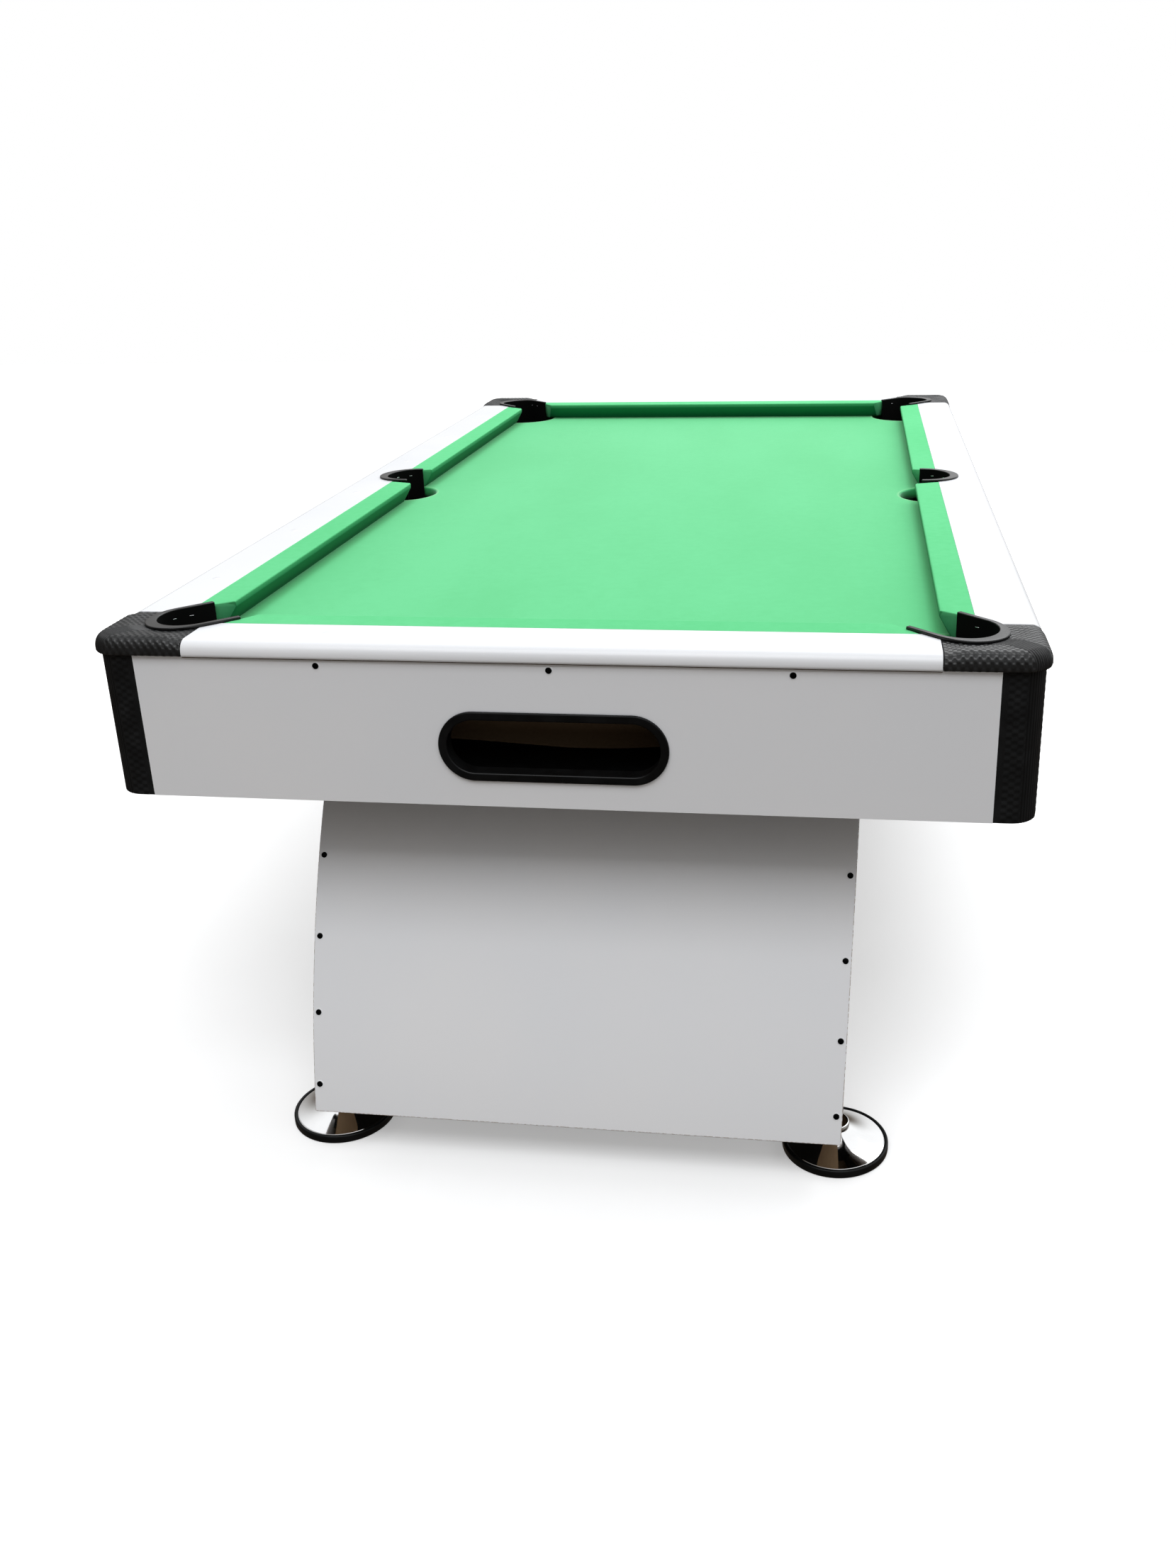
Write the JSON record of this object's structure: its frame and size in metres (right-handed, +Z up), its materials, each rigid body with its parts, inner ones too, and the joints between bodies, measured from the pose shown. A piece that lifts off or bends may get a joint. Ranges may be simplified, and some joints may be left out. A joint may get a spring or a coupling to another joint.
{
  "type": "pool table",
  "caption": "Home pool table: cloth bed with cushions and pocket liners in white rails, black corner caps and posts, ball-return window, curved pedestals on screw-in levelling feet.",
  "frame": {"origin": "on the floor, under the middle of the table", "axes": "+Y along the table's length towards the rear end, so the ball return faces -Y; +X to the right of a player at the ball return; +Z up"},
  "size_m": [1.23, 2.219, 0.7773],
  "materials": {
    "white_laminate": "satin white laminate on board",
    "raw_board": "unfinished fibreboard",
    "black_moulding": "textured black moulding",
    "satin_black": "satin black moulding",
    "green_cloth": "napped green cloth",
    "chrome": "polished chrome",
    "zinc": "zinc-plated steel",
    "black_rubber": "matte black rubber"
  },
  "bodies": {
    "table": {"rail_front": "white_laminate", "rail_rear": "white_laminate", "rail_left": "white_laminate", "rail_right": "white_laminate", "corner_cap_front_left": "black_moulding", "corner_cap_front_right": "black_moulding", "corner_cap_rear_left": "black_moulding", "corner_cap_rear_right": "black_moulding", "cushion_front": "green_cloth", "cushion_rear": "green_cloth", "cushion_left_front": "green_cloth", "cushion_left_rear": "green_cloth", "cushion_right_front": "green_cloth", "cushion_right_rear": "green_cloth", "pocket_liner_front_left": "satin_black", "pocket_liner_front_right": "satin_black", "pocket_liner_rear_left": "satin_black", "pocket_liner_rear_right": "satin_black", "pocket_liner_side_left": "satin_black", "pocket_liner_side_right": "satin_black", "playfield_board": "raw_board", "bed_cloth": "green_cloth", "apron_front": "white_laminate", "apron_rear": "white_laminate", "apron_left": "white_laminate", "apron_right": "white_laminate", "corner_post_front_left": "black_moulding", "corner_post_front_right": "black_moulding", "corner_post_rear_left": "black_moulding", "corner_post_rear_right": "black_moulding", "ball_return_bezel": "black_moulding", "ball_tray": "satin_black", "gully_left": "satin_black", "gully_right": "satin_black", "cross_beam_front": "raw_board", "cross_beam_rear": "raw_board", "leg_front_outer_panel": "white_laminate", "leg_front_inner_panel": "white_laminate", "leg_front_cheek_left": "white_laminate", "leg_front_cheek_right": "white_laminate", "leg_front_top_board": "raw_board", "leg_front_base_board": "raw_board", "leg_rear_outer_panel": "white_laminate", "leg_rear_inner_panel": "white_laminate", "leg_rear_cheek_left": "white_laminate", "leg_rear_cheek_right": "white_laminate", "leg_rear_top_board": "raw_board", "leg_rear_base_board": "raw_board"},
    "foot_front_left": {"foot_pad_front_left": "black_rubber", "foot_disc_front_left": "chrome"},
    "foot_front_right": {"foot_pad_front_right": "black_rubber", "foot_disc_front_right": "chrome"},
    "foot_rear_left": {"foot_pad_rear_left": "black_rubber", "foot_disc_rear_left": "chrome"},
    "foot_rear_right": {"foot_pad_rear_right": "black_rubber", "foot_disc_rear_right": "chrome"},
    "stem_front_left": {"foot_stem_front_left": "zinc"},
    "stem_front_right": {"foot_stem_front_right": "zinc"},
    "stem_rear_left": {"foot_stem_rear_left": "zinc"},
    "stem_rear_right": {"foot_stem_rear_right": "zinc"}
  },
  "joints": [
    {"name": "foot_front_left_level", "type": "slide", "parent": "table", "child": "foot_front_left", "axis": [0, 0, 1], "range_m": [-0.0105, 0]},
    {"name": "stem_front_left_turn", "type": "hinge", "parent": "foot_front_left", "child": "stem_front_left", "pos_m": [-0.369, -1.0208, 0.05], "axis": [0, 0, 1], "range_deg": [-2160, 0]},
    {"name": "foot_front_right_level", "type": "slide", "parent": "table", "child": "foot_front_right", "axis": [0, 0, 1], "range_m": [-0.0105, 0]},
    {"name": "stem_front_right_turn", "type": "hinge", "parent": "foot_front_right", "child": "stem_front_right", "pos_m": [0.369, -1.0208, 0.05], "axis": [0, 0, 1], "range_deg": [-2160, 0]},
    {"name": "foot_rear_left_level", "type": "slide", "parent": "table", "child": "foot_rear_left", "axis": [0, 0, 1], "range_m": [-0.0105, 0]},
    {"name": "stem_rear_left_turn", "type": "hinge", "parent": "foot_rear_left", "child": "stem_rear_left", "pos_m": [-0.369, 1.0208, 0.05], "axis": [0, 0, 1], "range_deg": [-2160, 0]},
    {"name": "foot_rear_right_level", "type": "slide", "parent": "table", "child": "foot_rear_right", "axis": [0, 0, 1], "range_m": [-0.0105, 0]},
    {"name": "stem_rear_right_turn", "type": "hinge", "parent": "foot_rear_right", "child": "stem_rear_right", "pos_m": [0.369, 1.0208, 0.05], "axis": [0, 0, 1], "range_deg": [-2160, 0]}
  ],
  "couplings": [
    {"joint": "stem_front_left_turn", "follows": "foot_front_left_level", "rad_per_m": 3590.3},
    {"joint": "stem_front_right_turn", "follows": "foot_front_right_level", "rad_per_m": 3590.3},
    {"joint": "stem_rear_left_turn", "follows": "foot_rear_left_level", "rad_per_m": 3590.3},
    {"joint": "stem_rear_right_turn", "follows": "foot_rear_right_level", "rad_per_m": 3590.3}
  ]
}
